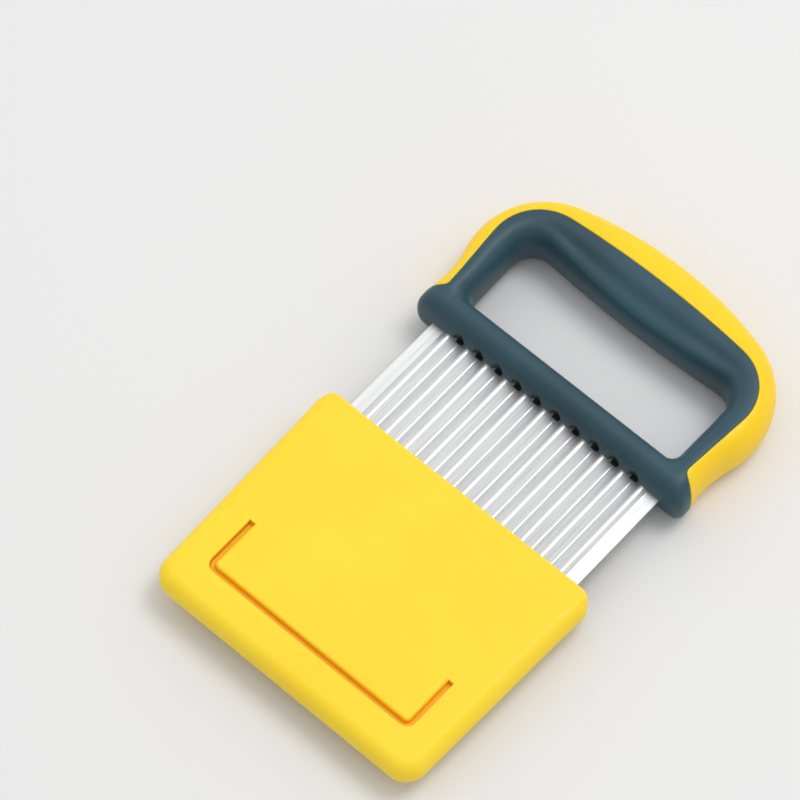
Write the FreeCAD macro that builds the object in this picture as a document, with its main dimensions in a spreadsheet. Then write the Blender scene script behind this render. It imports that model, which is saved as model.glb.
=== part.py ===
"""Crinkle cutter: a wavy steel blade in a two-shot loop handle, with a blade guard that slides off.

X runs across the blade, Y from the cutting edge to the handle, Z up from the surface that the
cutter lies on. The bar line is the front of the handle's bar, where the blade comes out, and the
blade plane is the middle of the blade's thickness.
"""
import FreeCAD, Part

import math
import os

from FreeCAD import Vector

DRIVING_SIZES = (
    ("blade_width", 115.0, "across the blade"),
    ("blade_free_length", 90.0, "bar line to cutting edge"),
    ("blade_thickness", 1.0, "sheet thickness"),
    ("blade_least_flat", 5.0, "least flat beside the outermost waves"),
    ("wave_pitch", 9.84, "crest to crest"),
    ("wave_corner_height", 1.65, "unrounded crest above the blade plane"),
    ("wave_bend_radius", 1.5, "bend radius at mid thickness"),
    ("ground_length", 2.4, "length of the ground edge"),
    ("edge_thickness", 0.15, "thickness left at the cutting edge"),
    ("tang_cover", 4.5, "end of the tang to the finger opening"),
    ("handle_height", 82.6, "bar line to the top of the grip"),
    ("handle_thickness", 25.0, "front face to back face"),
    ("bar_end_room", 10.8, "blade edge to the end of the bar"),
    ("bar_depth", 14.0, "bar line to the finger opening"),
    ("grip_depth", 33.0, "finger opening to the top of the grip"),
    ("leg_width", 18.1, "widest point of a leg"),
    ("leg_bow", 2.2, "how far the legs stand out past the bar"),
    ("waist_radius", 57.2, "hollow of the legs' outside above the bar"),
    ("arch_rise", 40.0, "widest point of the legs to the top of the grip"),
    ("arch_crown_radius", 176.4, "curve of the handle's outside over the grip"),
    ("palm_swell_radius", 490.0, "curve of the grip's inner edge"),
    ("opening_lower_radius", 4.5, "finger opening corner at the bar"),
    ("opening_upper_radius", 9.0, "finger opening corner at the grip"),
    ("rounded_share", 0.96, "share of the bar's depth that its edges round over"),
    ("skin_thickness", 2.0, "soft grip over the hard core's sides"),
    ("face_skin", 4.0, "soft grip over the core's front and back"),
    ("spine_depth", 14.5, "spine at the top of the grip"),
    ("spine_leg_width", 8.0, "spine at the widest point of the legs"),
    ("spine_foot_width", 9.9, "spine's inner line at its foot, from the widest point"),
    ("spine_arch_rise", 20.7, "rise of the spine's inner line over the grip"),
    ("spine_crown_radius", 372.0, "curve of that line over the grip"),
    ("spine_foot_rise", 3.2, "finger opening's lower edge to the middle of the foot's corner"),
    ("spine_foot_radius", 3.5, "corner of the spine's foot"),
    ("spine_tip_fall", 0.45, "fall of the spine's end per length outward"),
    ("scallop_radius", 2.0, "hollows in the bar beside the blade"),
    ("scallop_depth", 1.6, "depth of those hollows"),
    ("guard_thickness", 13.0, "outside thickness"),
    ("guard_side_room", 10.4, "blade edge to the guard's side at the mouth"),
    ("guard_side_taper", 2.4, "each side drawn in from mouth to closed end"),
    ("guard_end_room", 15.5, "cutting edge to the outside of the closed end"),
    ("guard_exposure", 47.5, "blade left showing as the guard stands"),
    ("guard_wall", 1.9, "wall of the guard's faces"),
    ("guard_side_wall", 3.0, "wall of its sides and end"),
    ("guard_edge_radius", 5.8, "rounding of the long edges"),
    ("guard_end_radius", 9.5, "closed end corners in plan"),
    ("guard_mouth_radius", 4.5, "mouth corners in plan"),
    ("slot_width", 2.6, "width of the U slot"),
    ("slot_side_room", 7.5, "blade edge to the middle of the slot's arms"),
    ("slot_end_room", 18.5, "closed end to the slot's base"),
    ("slot_arm_length", 22.5, "length of the slot's arms"),
    ("slot_corner_radius", 3.3, "corner of the slot at mid width"),
    ("bead_length", 48.0, "bead across the tongue"),
    ("bead_inset", 4.0, "slot base to the bead"),
    ("bead_radius", 1.4, "tip of the bead"),
    ("slide_clearance", 0.3, "gap between the blade and what guides it"),
    ("rail_thickness", 1.6, "ribs that guide the blade"),
    ("rail_inset", 2.5, "blade edge to the middle of the guide ribs"),
    ("rail_start", 1.5, "mouth to the ribs"),
    ("rail_end_gap", 3.0, "ribs to the inside of the closed end"),
)

DERIVED_SIZES = (
    ("wave_angle", "atan(4 * sheet.wave_corner_height / sheet.wave_pitch) / 1 deg",
     "slope of the waves, in degrees"),
    ("wave_rise", "sheet.wave_corner_height - sheet.wave_bend_radius"
     " * (1 / cos(wave_angle * 1 deg) - 1)",
     "rounded crest above the blade plane, at mid thickness"),
    ("wave_gaps", "floor((sheet.blade_width - 2 * sheet.blade_least_flat - sheet.wave_pitch / 2)"
     " / sheet.wave_pitch)", "pitches between the outermost crests"),
    ("tang_length", "sheet.bar_depth - sheet.tang_cover", "blade inside the bar"),
    ("bar_half_width", "sheet.blade_width / 2 + sheet.bar_end_room", "middle to a bar end"),
    ("section_rounding", "sheet.bar_depth * sheet.rounded_share / 2",
     "radius of the handle's edges, and of the bar's ends in plan"),
    ("leg_half_span", "bar_half_width + sheet.leg_bow", "middle to the widest point of a leg"),
    ("guard_length", "sheet.blade_free_length + sheet.guard_end_room", "mouth to closed end"),
    ("guard_mouth_half", "sheet.blade_width / 2 + sheet.guard_side_room",
     "middle to the side at the mouth"),
    ("guard_end_half", "guard_mouth_half - sheet.guard_side_taper",
     "middle to the side at the closed end"),
    ("blade_top", "wave_rise + sheet.blade_thickness / 2",
     "top of the crests above the blade plane"),
    ("bar_line_y", "(sheet.guard_exposure + guard_length - sheet.handle_height) / 2",
     "the bar line in the frame"),
    ("blade_plane_z", "sheet.handle_thickness / 2", "the blade plane in the frame"),
)

TOUCH = 0.01

doc = FreeCAD.newDocument("crinkle_cutter")
sheet = doc.addObject("Spreadsheet::Sheet", "sheet")
for row, (alias, value, meaning) in enumerate(DRIVING_SIZES, start=1):
    sheet.set(f"A{row}", alias)
    sheet.set(f"B{row}", str(value))
    sheet.set(f"C{row}", meaning)
    sheet.setAlias(f"B{row}", alias)
derived = doc.addObject("Spreadsheet::Sheet", "derived")
for row, (alias, formula, meaning) in enumerate(DERIVED_SIZES, start=1):
    derived.set(f"A{row}", alias)
    derived.set(f"B{row}", f"={formula}")
    derived.set(f"C{row}", meaning)
    derived.setAlias(f"B{row}", alias)
doc.recompute()

DRIVING_NAMES = {alias for alias, _, _ in DRIVING_SIZES}


def size(alias):
    """Return a driving or a derived size."""
    return float((sheet if alias in DRIVING_NAMES else derived).get(alias))


def place(target, x="0", y="0", z="0"):
    """Place an object from the bar line and the blade plane, by expressions."""
    target.setExpression("Placement.Base.x", x)
    target.setExpression("Placement.Base.y", f"derived.bar_line_y + ({y})")
    target.setExpression("Placement.Base.z", f"derived.blade_plane_z + ({z})")


def boolean(kind, name, base, tool):
    """Add a Cut, Fuse or Common of two objects."""
    result = doc.addObject(f"Part::{kind}", name)
    result.Base = base
    result.Tool = tool
    return result


def new_body(name):
    """Add a body with a label of its own."""
    body = doc.addObject("PartDesign::Body", name)
    body.Label = name
    return body


def new_sketch(body, name, role, offset="0"):
    """Add a sketch on one of a body's origin planes, moved off along the plane's normal."""
    sketch = body.newObject("Sketcher::SketchObject", name)
    plane = next(f for f in body.Origin.OriginFeatures if f.Role == role)
    sketch.AttachmentSupport = (plane, [""])
    sketch.MapMode = "FlatFace"
    sketch.setExpression("AttachmentOffset.Base.z", offset)
    return sketch


def new_feature(body, kind, name, profile=None, **expressions):
    """Add a PartDesign feature whose sizes are bound to expressions."""
    feature = body.newObject(f"PartDesign::{kind}", name)
    if profile is not None:
        feature.Profile = profile
        profile.Visibility = False
    for path, expression in expressions.items():
        feature.setExpression(path, expression)
    return feature


def both_ways(feature):
    """Make a pad or pocket reach equally far to both sides of its sketch."""
    feature.SideType = "Symmetric"
    return feature


def finish_edges(body, kind, name, base, test, **amount):
    """Round or bevel the edges of a feature that pass a test."""
    doc.recompute()
    edges = [f"Edge{i}" for i, edge in enumerate(base.Shape.Edges, start=1) if test(edge)]
    if not edges:
        raise RuntimeError(f"{name}: no edges to finish")
    feature = new_feature(body, kind, name, **amount)
    feature.Base = (base, edges)
    return feature


def level_edge(height):
    """Return a test for edges that lie at a height, above or below the blade plane."""
    def test(edge):
        box = edge.BoundBox
        return box.ZLength < TOUCH and abs(abs(box.ZMax) - height) < TOUCH
    return test


def closed_profile(sketch, points):
    """Draw a closed profile: straight runs, and arcs where a point is (middle, end)."""
    here = points[-1][-1] if isinstance(points[-1], tuple) else points[-1]
    for point in points:
        if isinstance(point, tuple):
            arc = Part.Arc(Vector(*here, 0), Vector(*point[0], 0), Vector(*point[1], 0))
            sketch.addGeometry(arc, False)
            here = point[1]
        else:
            sketch.addGeometry(Part.LineSegment(Vector(*here, 0), Vector(*point, 0)), False)
            here = point


def rectangle(sketch, x_range, y_range):
    """Draw a rectangle between two pairs of sizes."""
    (left, right), (low, high) = x_range, y_range
    closed_profile(sketch, [[left, low], [right, low], [right, high], [left, high]])


def wave_bends():
    """Return (center x, center z, up, start angle, end angle) of the blade's bends from the left.

    The angles are measured from upright, and up is +1 where the bend is a crest.
    """
    angle = math.radians(size("wave_angle"))
    corner, radius, pitch = (size(f"wave_{name}")
                             for name in ("corner_height", "bend_radius", "pitch"))
    depth = corner - radius / math.cos(angle)
    gaps = int(size("wave_gaps"))
    run_out = gaps * pitch / 2 + corner / math.tan(angle) + radius * math.tan(angle / 2)
    bends = [(-run_out, radius, -1, 0.0, angle)]
    for step in range(2 * gaps + 1):
        up = 1 if step % 2 == 0 else -1
        bends.append(((step - gaps) * pitch / 2, up * depth, up, -angle, angle))
    bends.append((run_out, radius, -1, -angle, 0.0))
    return bends


def wave_side(thickness, side):
    """Return one side of the blade's section from left to right, as a closed_profile takes it."""
    half = size("blade_width") / 2
    level = side * thickness / 2
    points = [[-half, level]]
    for x, z, up, start, end in wave_bends():
        radius = size("wave_bend_radius") + side * up * thickness / 2
        first, middle, last = ([x + radius * math.sin(angle), z + up * radius * math.cos(angle)]
                               for angle in (start, (start + end) / 2, end))
        points += [first, (middle, last)]
    return points + [[half, level]]


def reversed_profile(points):
    """Return a run of profile points in the opposite order."""
    result = []
    for index in range(len(points) - 1, -1, -1):
        point = points[index]
        following = points[index + 1] if index + 1 < len(points) else None
        end = point[1] if isinstance(point, tuple) else point
        result.append((following[0], end) if isinstance(following, tuple) else end)
    return result


def flipped(points):
    """Return profile points reflected to the other side of the middle."""
    return [tuple([-x, y] for x, y in point) if isinstance(point, tuple) else [-point[0], point[1]]
            for point in points]


def wave_sketch(body, name, offset, thickness):
    """Add a sketch of the blade's wavy section."""
    sketch = new_sketch(body, name, "XZ_Plane", offset)
    closed_profile(sketch, wave_side(thickness, 1) + reversed_profile(wave_side(thickness, -1)))
    return sketch


def make_blade():
    """Build the wavy blade, its tang and its ground edge."""
    body = new_body("blade")
    place(body)
    ground_start = "sheet.blade_free_length - sheet.ground_length"
    root = wave_sketch(body, "wave_at_tang", "-derived.tang_length", size("blade_thickness"))
    sheet_pad = new_feature(body, "Pad", "wavy_sheet", root,
                            Length=f"{ground_start} + derived.tang_length")
    start = wave_sketch(body, "wave_at_ground_start", ground_start, size("blade_thickness"))
    edge = wave_sketch(body, "wave_at_edge", "sheet.blade_free_length", size("edge_thickness"))
    ground = new_feature(body, "AdditiveLoft", "ground_edge", start)
    ground.Sections = [edge]
    ground.Ruled = True
    edge.Visibility = False
    return body


def make_scallops():
    """Build the upright rollers that hollow the bar where the blade's waves dip away from it."""
    rollers = []
    gaps = int(size("wave_gaps"))
    for side, count in ((1, gaps), (-1, gaps + 1)):
        for index in range(count):
            roller = doc.addObject("Part::Cylinder", f"scallop_{'upper' if side > 0 else 'lower'}")
            roller.setExpression("Radius", "sheet.scallop_radius")
            roller.setExpression("Height", "sheet.handle_thickness")
            start = "sheet.blade_thickness - derived.blade_top"
            place(roller, x=f"{index - (count - 1) / 2} * sheet.wave_pitch",
                  y="sheet.scallop_depth - sheet.scallop_radius",
                  z=start if side > 0 else f"-({start}) - sheet.handle_thickness")
            rollers.append(roller)
    group = doc.addObject("Part::Compound", "scallops")
    group.Links = rollers
    return group


def meeting(first, first_reach, second, second_reach):
    """Return the point at two distances from two others, to the right of the way between them."""
    gap = math.dist(first, second)
    along = (first_reach ** 2 - second_reach ** 2 + gap ** 2) / (2 * gap)
    off = math.sqrt(first_reach ** 2 - along ** 2)
    x, y = ((second[i] - first[i]) / gap for i in (0, 1))
    return [first[0] + x * along + y * off, first[1] + y * along - x * off]


def toward(center, point, distance):
    """Return the point at a distance from a center, on the way to another point."""
    share = distance / math.dist(center, point)
    return [center[i] + (point[i] - center[i]) * share for i in (0, 1)]


def bend(center, start, end):
    """Return the arc round a center between two points, as closed_profile takes it."""
    middle = [(start[i] + end[i]) / 2 for i in (0, 1)]
    return toward(center, middle, math.dist(center, start)), end


def across_middle(right, top):
    """Return a profile that is the same on both sides, closed by an arc over its top."""
    last = right[-1][-1]
    left = flipped(reversed_profile(right))
    return right + [([0.0, top], [-last[0], last[1]])] + left[1:]


def shoulder_of(half, top, rise, crown):
    """Return the (center, radius) of the arc from an arch's upright side to its crown's arc."""
    radius = (2 * crown * rise - rise ** 2 - half ** 2) / (2 * (crown - half))
    return [half - radius, top - rise], radius


def handle_profile(inset):
    """Return the handle's outline in plan, moved in by an inset.

    On each side the bar's round end, the hollow waist, the shoulder and the crown are arcs that
    run into each other.
    """
    top, crown = size("handle_height"), size("arch_crown_radius")
    end_radius = size("section_rounding")
    end = [size("bar_half_width") - end_radius, end_radius]
    shoulder, radius = shoulder_of(size("leg_half_span"), top, size("arch_rise"), crown)
    waist = meeting(end, end_radius + size("waist_radius"), shoulder,
                    radius + size("waist_radius"))
    front = [end[0], inset]
    end_stop = toward(end, waist, end_radius - inset)
    shoulder_start = toward(shoulder, waist, radius - inset)
    shoulder_stop = toward([0.0, top - crown], shoulder, crown - inset)
    right = [front, bend(end, front, end_stop), bend(waist, end_stop, shoulder_start),
             bend(shoulder, shoulder_start, shoulder_stop)]
    return across_middle(right, top - inset)


def opening_profile(outset):
    """Return the finger opening's outline in plan, let out by an outset.

    Its upper side is an arc that bulges into the opening, as the grip swells towards the palm.
    """
    half = size("leg_half_span") - size("leg_width") + outset
    bottom = size("bar_depth") - outset
    swell = size("palm_swell_radius")
    swell_center = [0.0, size("handle_height") - size("grip_depth") + swell]
    lower, upper = (size(f"opening_{name}_radius") + outset for name in ("lower", "upper"))
    corner = [half - lower, bottom + lower]
    upper_x = half - upper
    upper_reach = swell - outset + upper
    top_corner = [upper_x, swell_center[1] - math.sqrt(upper_reach ** 2 - upper_x ** 2)]
    start, stop = [corner[0], bottom], [half, corner[1]]
    turn = [half, top_corner[1]]
    touch = toward(swell_center, top_corner, swell - outset)
    right = [start, bend(corner, start, stop), turn, bend(top_corner, turn, touch)]
    return across_middle(right, swell_center[1] - swell + outset)


def zone_profile():
    """Return the plan of the block that holds all of the soft grip, along the spine's inner line.

    The line comes in along the spine's foot, turns up round its corner, leans straight up the leg
    and goes over the grip in the arch's three arcs.
    """
    half = size("leg_half_span") - size("spine_leg_width")
    top, crown = size("handle_height") - size("spine_depth"), size("spine_crown_radius")
    shoulder, radius = shoulder_of(half, top, size("spine_arch_rise"), crown)
    foot_radius = size("spine_foot_radius")
    foot = [size("leg_half_span") - size("spine_foot_width") + foot_radius,
            size("bar_depth") + size("spine_foot_rise")]
    fall = math.atan(size("spine_tip_fall"))
    lean = (math.atan2(shoulder[1] - foot[1], foot[0] - shoulder[0])
            - math.acos((radius + foot_radius) / math.dist(shoulder, foot)))
    outward = [math.cos(lean), -math.sin(lean)]
    foot_start = [foot[0] - foot_radius * math.sin(fall), foot[1] - foot_radius * math.cos(fall)]
    foot_stop = [foot[i] - foot_radius * outward[i] for i in (0, 1)]
    shoulder_start = [shoulder[i] + radius * outward[i] for i in (0, 1)]
    shoulder_stop = toward([0.0, top - crown], shoulder, crown)
    outside = size("leg_half_span") + size("leg_width")
    tip = [outside, foot_start[1] - (outside - foot_start[0]) * size("spine_tip_fall")]
    right = [[outside, -outside], tip, foot_start, bend(foot, foot_start, foot_stop),
             shoulder_start, bend(shoulder, shoulder_start, shoulder_stop)]
    return across_middle(right, top)


def plan_pad(body, name, profile, thickness):
    """Pad a plan by a thickness, equally to both sides of the blade plane."""
    sketch = new_sketch(body, f"{name}_plan", "XY_Plane")
    closed_profile(sketch, profile)
    return both_ways(new_feature(body, "Pad", name, sketch, Length=thickness))


def handle_loop(name, inset, thickness):
    """Build the loop handle's plan as a block with its finger opening, moved in by an inset."""
    body = new_body(name)
    place(body)
    plan_pad(body, f"{name}_block", handle_profile(inset), thickness)
    sketch = new_sketch(body, f"{name}_opening_plan", "XY_Plane")
    closed_profile(sketch, opening_profile(inset))
    both_ways(new_feature(body, "Pocket", f"{name}_opening", sketch, Length=thickness))
    return body


def make_handle(blade):
    """Build the hard core with its outer spine, and the soft grip moulded round it."""
    whole = handle_loop("handle_form", 0.0, "sheet.handle_thickness")
    finish_edges(whole, "Fillet", "rounded_edges", whole.Tip,
                 level_edge(size("handle_thickness") / 2), Radius="derived.section_rounding")
    inner = handle_loop("hard_inner", size("skin_thickness"),
                        "sheet.handle_thickness - 2 * sheet.face_skin")
    zone = new_body("soft_zone")
    place(zone)
    plan_pad(zone, "soft_zone_block", zone_profile(), "2 * sheet.handle_thickness")
    spine = boolean("Cut", "spine", whole, zone)
    hard = boolean("Fuse", "hard_form", spine, inner)
    core = boolean("Cut", "handle_core", hard, blade)
    soft = boolean("Common", "soft_form", whole, zone)
    skin = boolean("Cut", "soft_skin", soft, inner)
    slotted = boolean("Cut", "soft_slotted", skin, blade)
    grip = boolean("Cut", "soft_grip", slotted, make_scallops())
    return core, grip


def guard_side_lean():
    """Return how far the guard's sides lean in towards the closed end, in radians."""
    return math.atan(size("guard_side_taper") / size("guard_length"))


def guard_plan(sketch, wall):
    """Draw the guard's tapered plan with a round-cornered closed end, moved in by a wall."""
    lean = guard_side_lean()
    radius = size("guard_end_radius") - wall
    half = size("guard_mouth_half") - wall / math.cos(lean)
    end = wall - size("guard_length")
    turn = (math.pi / 2 - lean) / 2
    center = (half + end * math.tan(lean) - radius * math.tan(turn), end + radius)
    side = [center[0] + radius * math.cos(lean), center[1] - radius * math.sin(lean)]
    middle = [center[0] + radius * math.sin(turn), center[1] - radius * math.cos(turn)]
    right = [[half, 0.0], side, (middle, [center[0], end])]
    closed_profile(sketch, right + flipped(reversed_profile(right)))


def clear_of_mouth(test):
    """Return a test for edges that pass another and don't run across the guard's mouth."""
    def both(edge):
        box = edge.BoundBox
        return test(edge) and not (box.YLength < TOUCH and abs(box.YMax) < TOUCH)
    return both


def mouth_corners(sketch):
    """Draw what rounding the mouth's corners takes off the guard, one profile a side."""
    half, radius = size("guard_mouth_half"), size("guard_mouth_radius")
    lean = guard_side_lean()
    reach = radius * math.tan((math.pi / 2 + lean) / 2)
    start = [half - reach, 0.0]
    end = [half - reach * math.sin(lean), -reach * math.cos(lean)]
    turn = (math.pi / 2 - lean) / 2
    middle = [start[0] + radius * math.sin(turn), -radius + radius * math.cos(turn)]
    out = half + radius
    profile = [[start[0], radius], [out, radius], [out, end[1]], end, (middle, start)]
    closed_profile(sketch, profile)
    closed_profile(sketch, flipped(profile))


def slot_side(radius):
    """Return one side of the slot's right arm, down to its base, for a corner radius."""
    corner = size("slot_corner_radius")
    across = size("blade_width") / 2 - size("slot_side_room") - corner
    base = size("slot_end_room") - size("guard_length")
    bend = radius * math.sin(math.pi / 4)
    return [[across + radius, base + size("slot_arm_length")], [across + radius, base + corner],
            ([across + bend, base + corner - bend], [across, base + corner - radius])]


def slot_outline(sketch):
    """Draw the U slot that leaves a spring tongue in the guard's front."""
    outer, inner = (slot_side(size("slot_corner_radius") + side * size("slot_width") / 2)
                    for side in (1, -1))
    closed_profile(sketch, outer + flipped(reversed_profile(outer))
                   + flipped(inner) + reversed_profile(inner))


def make_guard():
    """Build the guard: a flat sheath with guide ribs inside and a spring tongue in its front."""
    body = new_body("blade_guard")
    place(body, y="-sheet.guard_exposure")
    plan = new_sketch(body, "guard_plan", "XY_Plane")
    guard_plan(plan, 0.0)
    block = both_ways(new_feature(body, "Pad", "guard_block", plan,
                                  Length="sheet.guard_thickness"))
    half = size("guard_thickness") / 2
    finish_edges(body, "Fillet", "long_edges", block, clear_of_mouth(level_edge(half)),
                 Radius="sheet.guard_edge_radius")
    hollow = new_sketch(body, "pocket_plan", "XY_Plane")
    guard_plan(hollow, size("guard_side_wall"))
    pocket = both_ways(new_feature(body, "Pocket", "blade_pocket", hollow,
                                   Length="sheet.guard_thickness - 2 * sheet.guard_wall"))
    inside = size("guard_thickness") / 2 - size("guard_wall")
    finish_edges(body, "Chamfer", "pocket_edges", pocket, clear_of_mouth(level_edge(inside)),
                 Size="(sheet.guard_edge_radius - sheet.guard_side_wall) / 2")
    mouth = new_sketch(body, "mouth_corner_cut", "XY_Plane")
    mouth_corners(mouth)
    both_ways(new_feature(body, "Pocket", "mouth_corners", mouth,
                          Length="2 * sheet.guard_thickness"))
    slot = new_sketch(body, "slot_plan", "XY_Plane", "sheet.guard_thickness / 2")
    slot_outline(slot)
    new_feature(body, "Pocket", "tongue_slot", slot, Length="2 * sheet.guard_wall")
    inside = size("guard_thickness") / 2 - size("guard_wall") / 2
    ribs = new_sketch(body, "rib_sections", "XZ_Plane", "sheet.rail_start")
    rail = size("blade_width") / 2 - size("rail_inset")
    stop = size("blade_width") / 2 + size("slide_clearance")
    half_rib = size("rail_thickness") / 2
    clear = size("blade_thickness") / 2 + size("slide_clearance")
    for side in (1, -1):
        outer = sorted((side * stop, side * (stop + 2 * half_rib)))
        rectangle(ribs, outer, (-inside, inside))
        across = (side * rail - half_rib, side * rail + half_rib)
        rectangle(ribs, across, (clear, inside))
        rectangle(ribs, across, (-inside, -clear))
    new_feature(body, "Pad", "guide_ribs", ribs,
                Length="derived.guard_length - sheet.guard_side_wall - sheet.rail_end_gap"
                       " - sheet.rail_start")
    bead = new_sketch(body, "bead_section", "YZ_Plane")
    tip = size("blade_top") + size("slide_clearance")
    radius = size("bead_radius")
    at = size("slot_end_room") + size("slot_width") / 2 + size("bead_inset") - size("guard_length")
    closed_profile(bead, [[at - radius, inside], [at - radius, tip + radius],
                          ([at, tip], [at + radius, tip + radius]), [at + radius, inside]])
    both_ways(new_feature(body, "Pad", "tongue_bead", bead, Length="sheet.bead_length"))
    return body


blade = make_blade()
core, grip = make_handle(blade)
guard = make_guard()
doc.recompute()

pieces = {"blade": blade, "handle_core": core, "soft_grip": grip, "blade_guard": guard}
for obj in doc.Objects:
    if {"Invalid", "Error"} & set(obj.State):
        raise RuntimeError(f"{obj.Name} failed: {obj.State}")
os.makedirs("parts", exist_ok=True)
for label, piece in pieces.items():
    piece.Label = label
    shape = piece.Shape
    if shape.isNull() or not shape.isValid() or len(shape.Solids) != 1:
        raise RuntimeError(f"{label} is not one valid solid")
    shape.exportStep(f"parts/{label}.step")
    print(f"{label}: {shape.Volume:.0f} mm3, {len(shape.Faces)} faces, {shape.BoundBox}")
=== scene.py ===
"""Dresses the crinkle cutter: its surfaces, finishes, stage, light and camera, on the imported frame.

Sizes are in millimetres, as in the part's source. X runs across the blade, Y from the bar line,
where the blade leaves the handle, towards the grip, and Z up from the middle of the blade's sheet.
A piece goes into the frame, in metres, when its mesh is made.
"""

import logging
import math
from dataclasses import dataclass, field
from enum import Enum

import bmesh
import bpy
import numpy as np
from bpy.types import ID, Material, Mesh, Node, NodeSocket, NodeTree, Object
from mathutils import Matrix, Vector

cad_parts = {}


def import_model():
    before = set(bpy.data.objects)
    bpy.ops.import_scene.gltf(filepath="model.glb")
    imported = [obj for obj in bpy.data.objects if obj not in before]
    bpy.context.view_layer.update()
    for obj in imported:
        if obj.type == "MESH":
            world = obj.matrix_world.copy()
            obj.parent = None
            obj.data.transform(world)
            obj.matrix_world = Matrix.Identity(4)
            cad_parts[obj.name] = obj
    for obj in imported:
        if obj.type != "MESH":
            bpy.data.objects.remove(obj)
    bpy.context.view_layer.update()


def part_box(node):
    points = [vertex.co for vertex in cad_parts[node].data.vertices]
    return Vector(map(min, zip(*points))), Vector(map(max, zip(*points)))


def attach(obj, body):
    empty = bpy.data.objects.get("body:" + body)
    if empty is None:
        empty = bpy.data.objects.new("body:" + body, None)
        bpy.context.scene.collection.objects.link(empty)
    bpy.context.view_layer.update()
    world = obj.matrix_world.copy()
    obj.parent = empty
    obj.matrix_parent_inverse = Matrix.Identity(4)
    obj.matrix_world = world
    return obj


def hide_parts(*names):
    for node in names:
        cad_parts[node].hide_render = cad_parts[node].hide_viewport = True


LOG = logging.getLogger("crinkle_cutter")
MM = 0.001
WELD = 2e-6
TINY = 1e-12
SHARP_ANGLE = math.radians(38)
ANCHOR_STEPS = 4001
BLOCK = 4000
# The attribute that marks where a finish mixes in painted shade.
PAINTED_SHADE_ATTRIBUTE = "hollow"
NOISE_SPAN = (0.3, 0.7)
RIPPLE_RATIO = 40.0
TONE_SCALE = 28.0
GRAIN_HEIGHT = 0.1 * MM
LINE_LAYERS = (((5200.0, 60.0, 5200.0), 0.6), ((1500.0, 14.0, 1500.0), 0.4))
LINE_HEIGHT = 0.02 * MM

Colour = tuple[float, float, float, float]
Pair = tuple[float, float]
Triple = tuple[float, float, float]
Value = float | Colour | Triple | Vector | NodeSocket


class Cast(Enum):
    """The moulded or pressed stock that a piece is made of."""

    BLADE = "blade_steel"
    SPINE = "yellow_core"
    GRIP = "teal_grip"
    GUARD = "yellow_guard"


class Join(Enum):
    """How one closed mesh changes another."""

    ADD = "UNION"
    CUT = "DIFFERENCE"


def srgb(red: int, green: int, blue: int) -> Colour:
    """Turn a colour as it looks on screen into the linear colour that a shader takes.

    Args:
        red: Red, from 0 to 255.
        green: Green, from 0 to 255.
        blue: Blue, from 0 to 255.

    Returns:
        The linear colour with an alpha of 1.
    """
    shown = np.array([red, green, blue]) / 255
    linear = np.where(shown <= 0.04045, shown / 12.92, ((shown + 0.055) / 1.055) ** 2.4)
    return (*(float(channel) for channel in linear), 1.0)


def rounding_drop(depth: np.ndarray, radius: float) -> np.ndarray:
    """Find a round edge's fall below its face, at a depth in from it: r - sqrt(r^2 - (r - d)^2)."""
    short = np.clip(radius - depth, 0.0, radius)
    return radius - np.sqrt(np.maximum(radius ** 2 - short ** 2, 0.0))


def smooth_step(value: np.ndarray) -> np.ndarray:
    """Ease from 0 to 1 as the value does, level at both ends: s^2 (3 - 2 s)."""
    share = np.clip(value, 0.0, 1.0)
    return share * share * (3 - 2 * share)


@dataclass
class Shell:
    """A closed mesh, put together from grids of points in millimetres."""

    points: list[np.ndarray] = field(default_factory=list)
    quads: list[np.ndarray] = field(default_factory=list)
    count: int = 0

    def grid(self, points: np.ndarray, wrap: bool = False) -> None:
        """Add a grid of points and the quads between neighbours.

        Args:
            points: Rows by columns by 3.
            wrap: Whether the last row joins the first.
        """
        rows, columns = points.shape[:2]
        index = np.arange(rows * columns).reshape(rows, columns) + self.count
        if wrap:
            index = np.vstack([index, index[:1]])
        cells = np.stack([index[:-1, :-1], index[:-1, 1:], index[1:, 1:], index[1:, :-1]], axis=-1)
        self.points.append(points.reshape(-1, 3))
        self.quads.append(cells.reshape(-1, 4))
        self.count += rows * columns

    def tube(self, points: np.ndarray) -> None:
        """Add a tube that is closed at each end by a strip across it.

        Args:
            points: Rows round it by columns along it by 3.
        """
        self.grid(points, wrap=True)
        half = (len(points) + 1) // 2
        for end in (points[:, 0], points[:, -1]):
            self.grid(np.stack([end[:half], end[::-1][:half]]))

    def mesh(self, name: str, origin: Vector) -> Mesh:
        """Make a mesh in the frame, welded and turned outward.

        Args:
            name: The mesh's name.
            origin: Where the grids' origin lies in the frame, in metres.

        Returns:
            The mesh.
        """
        co = np.vstack(self.points) * MM + np.array(origin)
        quads = np.vstack(self.quads).astype(np.int32)
        mesh = bpy.data.meshes.new(name)
        mesh.vertices.add(len(co))
        mesh.vertices.foreach_set("co", co.astype(np.float32).ravel())
        mesh.loops.add(quads.size)
        mesh.loops.foreach_set("vertex_index", quads.ravel())
        mesh.polygons.add(len(quads))
        mesh.polygons.foreach_set("loop_start", np.arange(0, quads.size, 4, dtype=np.int32))
        mesh.update(calc_edges=True)
        clean(mesh)
        return mesh


def clean(mesh: Mesh) -> None:
    """Weld a mesh's doubles, drop what has no area, turn its faces outward and shade it.

    Args:
        mesh: The mesh, which is changed in place.
    """
    work = bmesh.new()
    work.from_mesh(mesh)
    bmesh.ops.remove_doubles(work, verts=work.verts, dist=WELD)
    bmesh.ops.dissolve_degenerate(work, edges=work.edges, dist=WELD)
    bmesh.ops.recalc_face_normals(work, faces=work.faces)
    work.to_mesh(mesh)
    work.free()
    mesh.shade_smooth()
    mesh.set_sharp_from_angle(angle=SHARP_ANGLE)


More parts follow.
